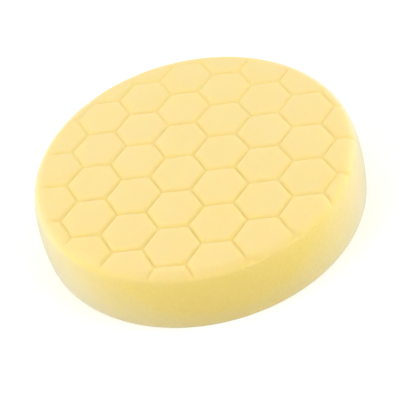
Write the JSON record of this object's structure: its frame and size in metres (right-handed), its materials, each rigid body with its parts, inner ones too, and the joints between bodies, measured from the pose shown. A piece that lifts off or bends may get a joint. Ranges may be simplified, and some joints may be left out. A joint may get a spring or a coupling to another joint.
{
  "type": "polishing pad",
  "caption": "Round foam polishing pad with a hexagon-grooved work face, a rounded shoulder and a recessed loop-fabric back that grips a hook backing plate.",
  "frame": {"origin": "centre of the circle that the foam rim's foot stands on, at the bottom of the bounding box", "axes": "+Z along the pad's axis, out of the grooved work face; +X and -X through corners of the pressed hexagons; the loop face looks along -Z"},
  "size_m": [0.165, 0.165, 0.032],
  "materials": {
    "foam": "matte open-cell polyurethane foam",
    "adhesive": "translucent hot-melt film",
    "loop_knit": "knitted nylon ground",
    "loop_pile": "brushed nylon loops"
  },
  "bodies": {
    "root": {"foam_body": "foam", "adhesive_film": "adhesive", "loop_ground": "loop_knit", "loop_pile": "loop_pile"}
  },
  "joints": []
}
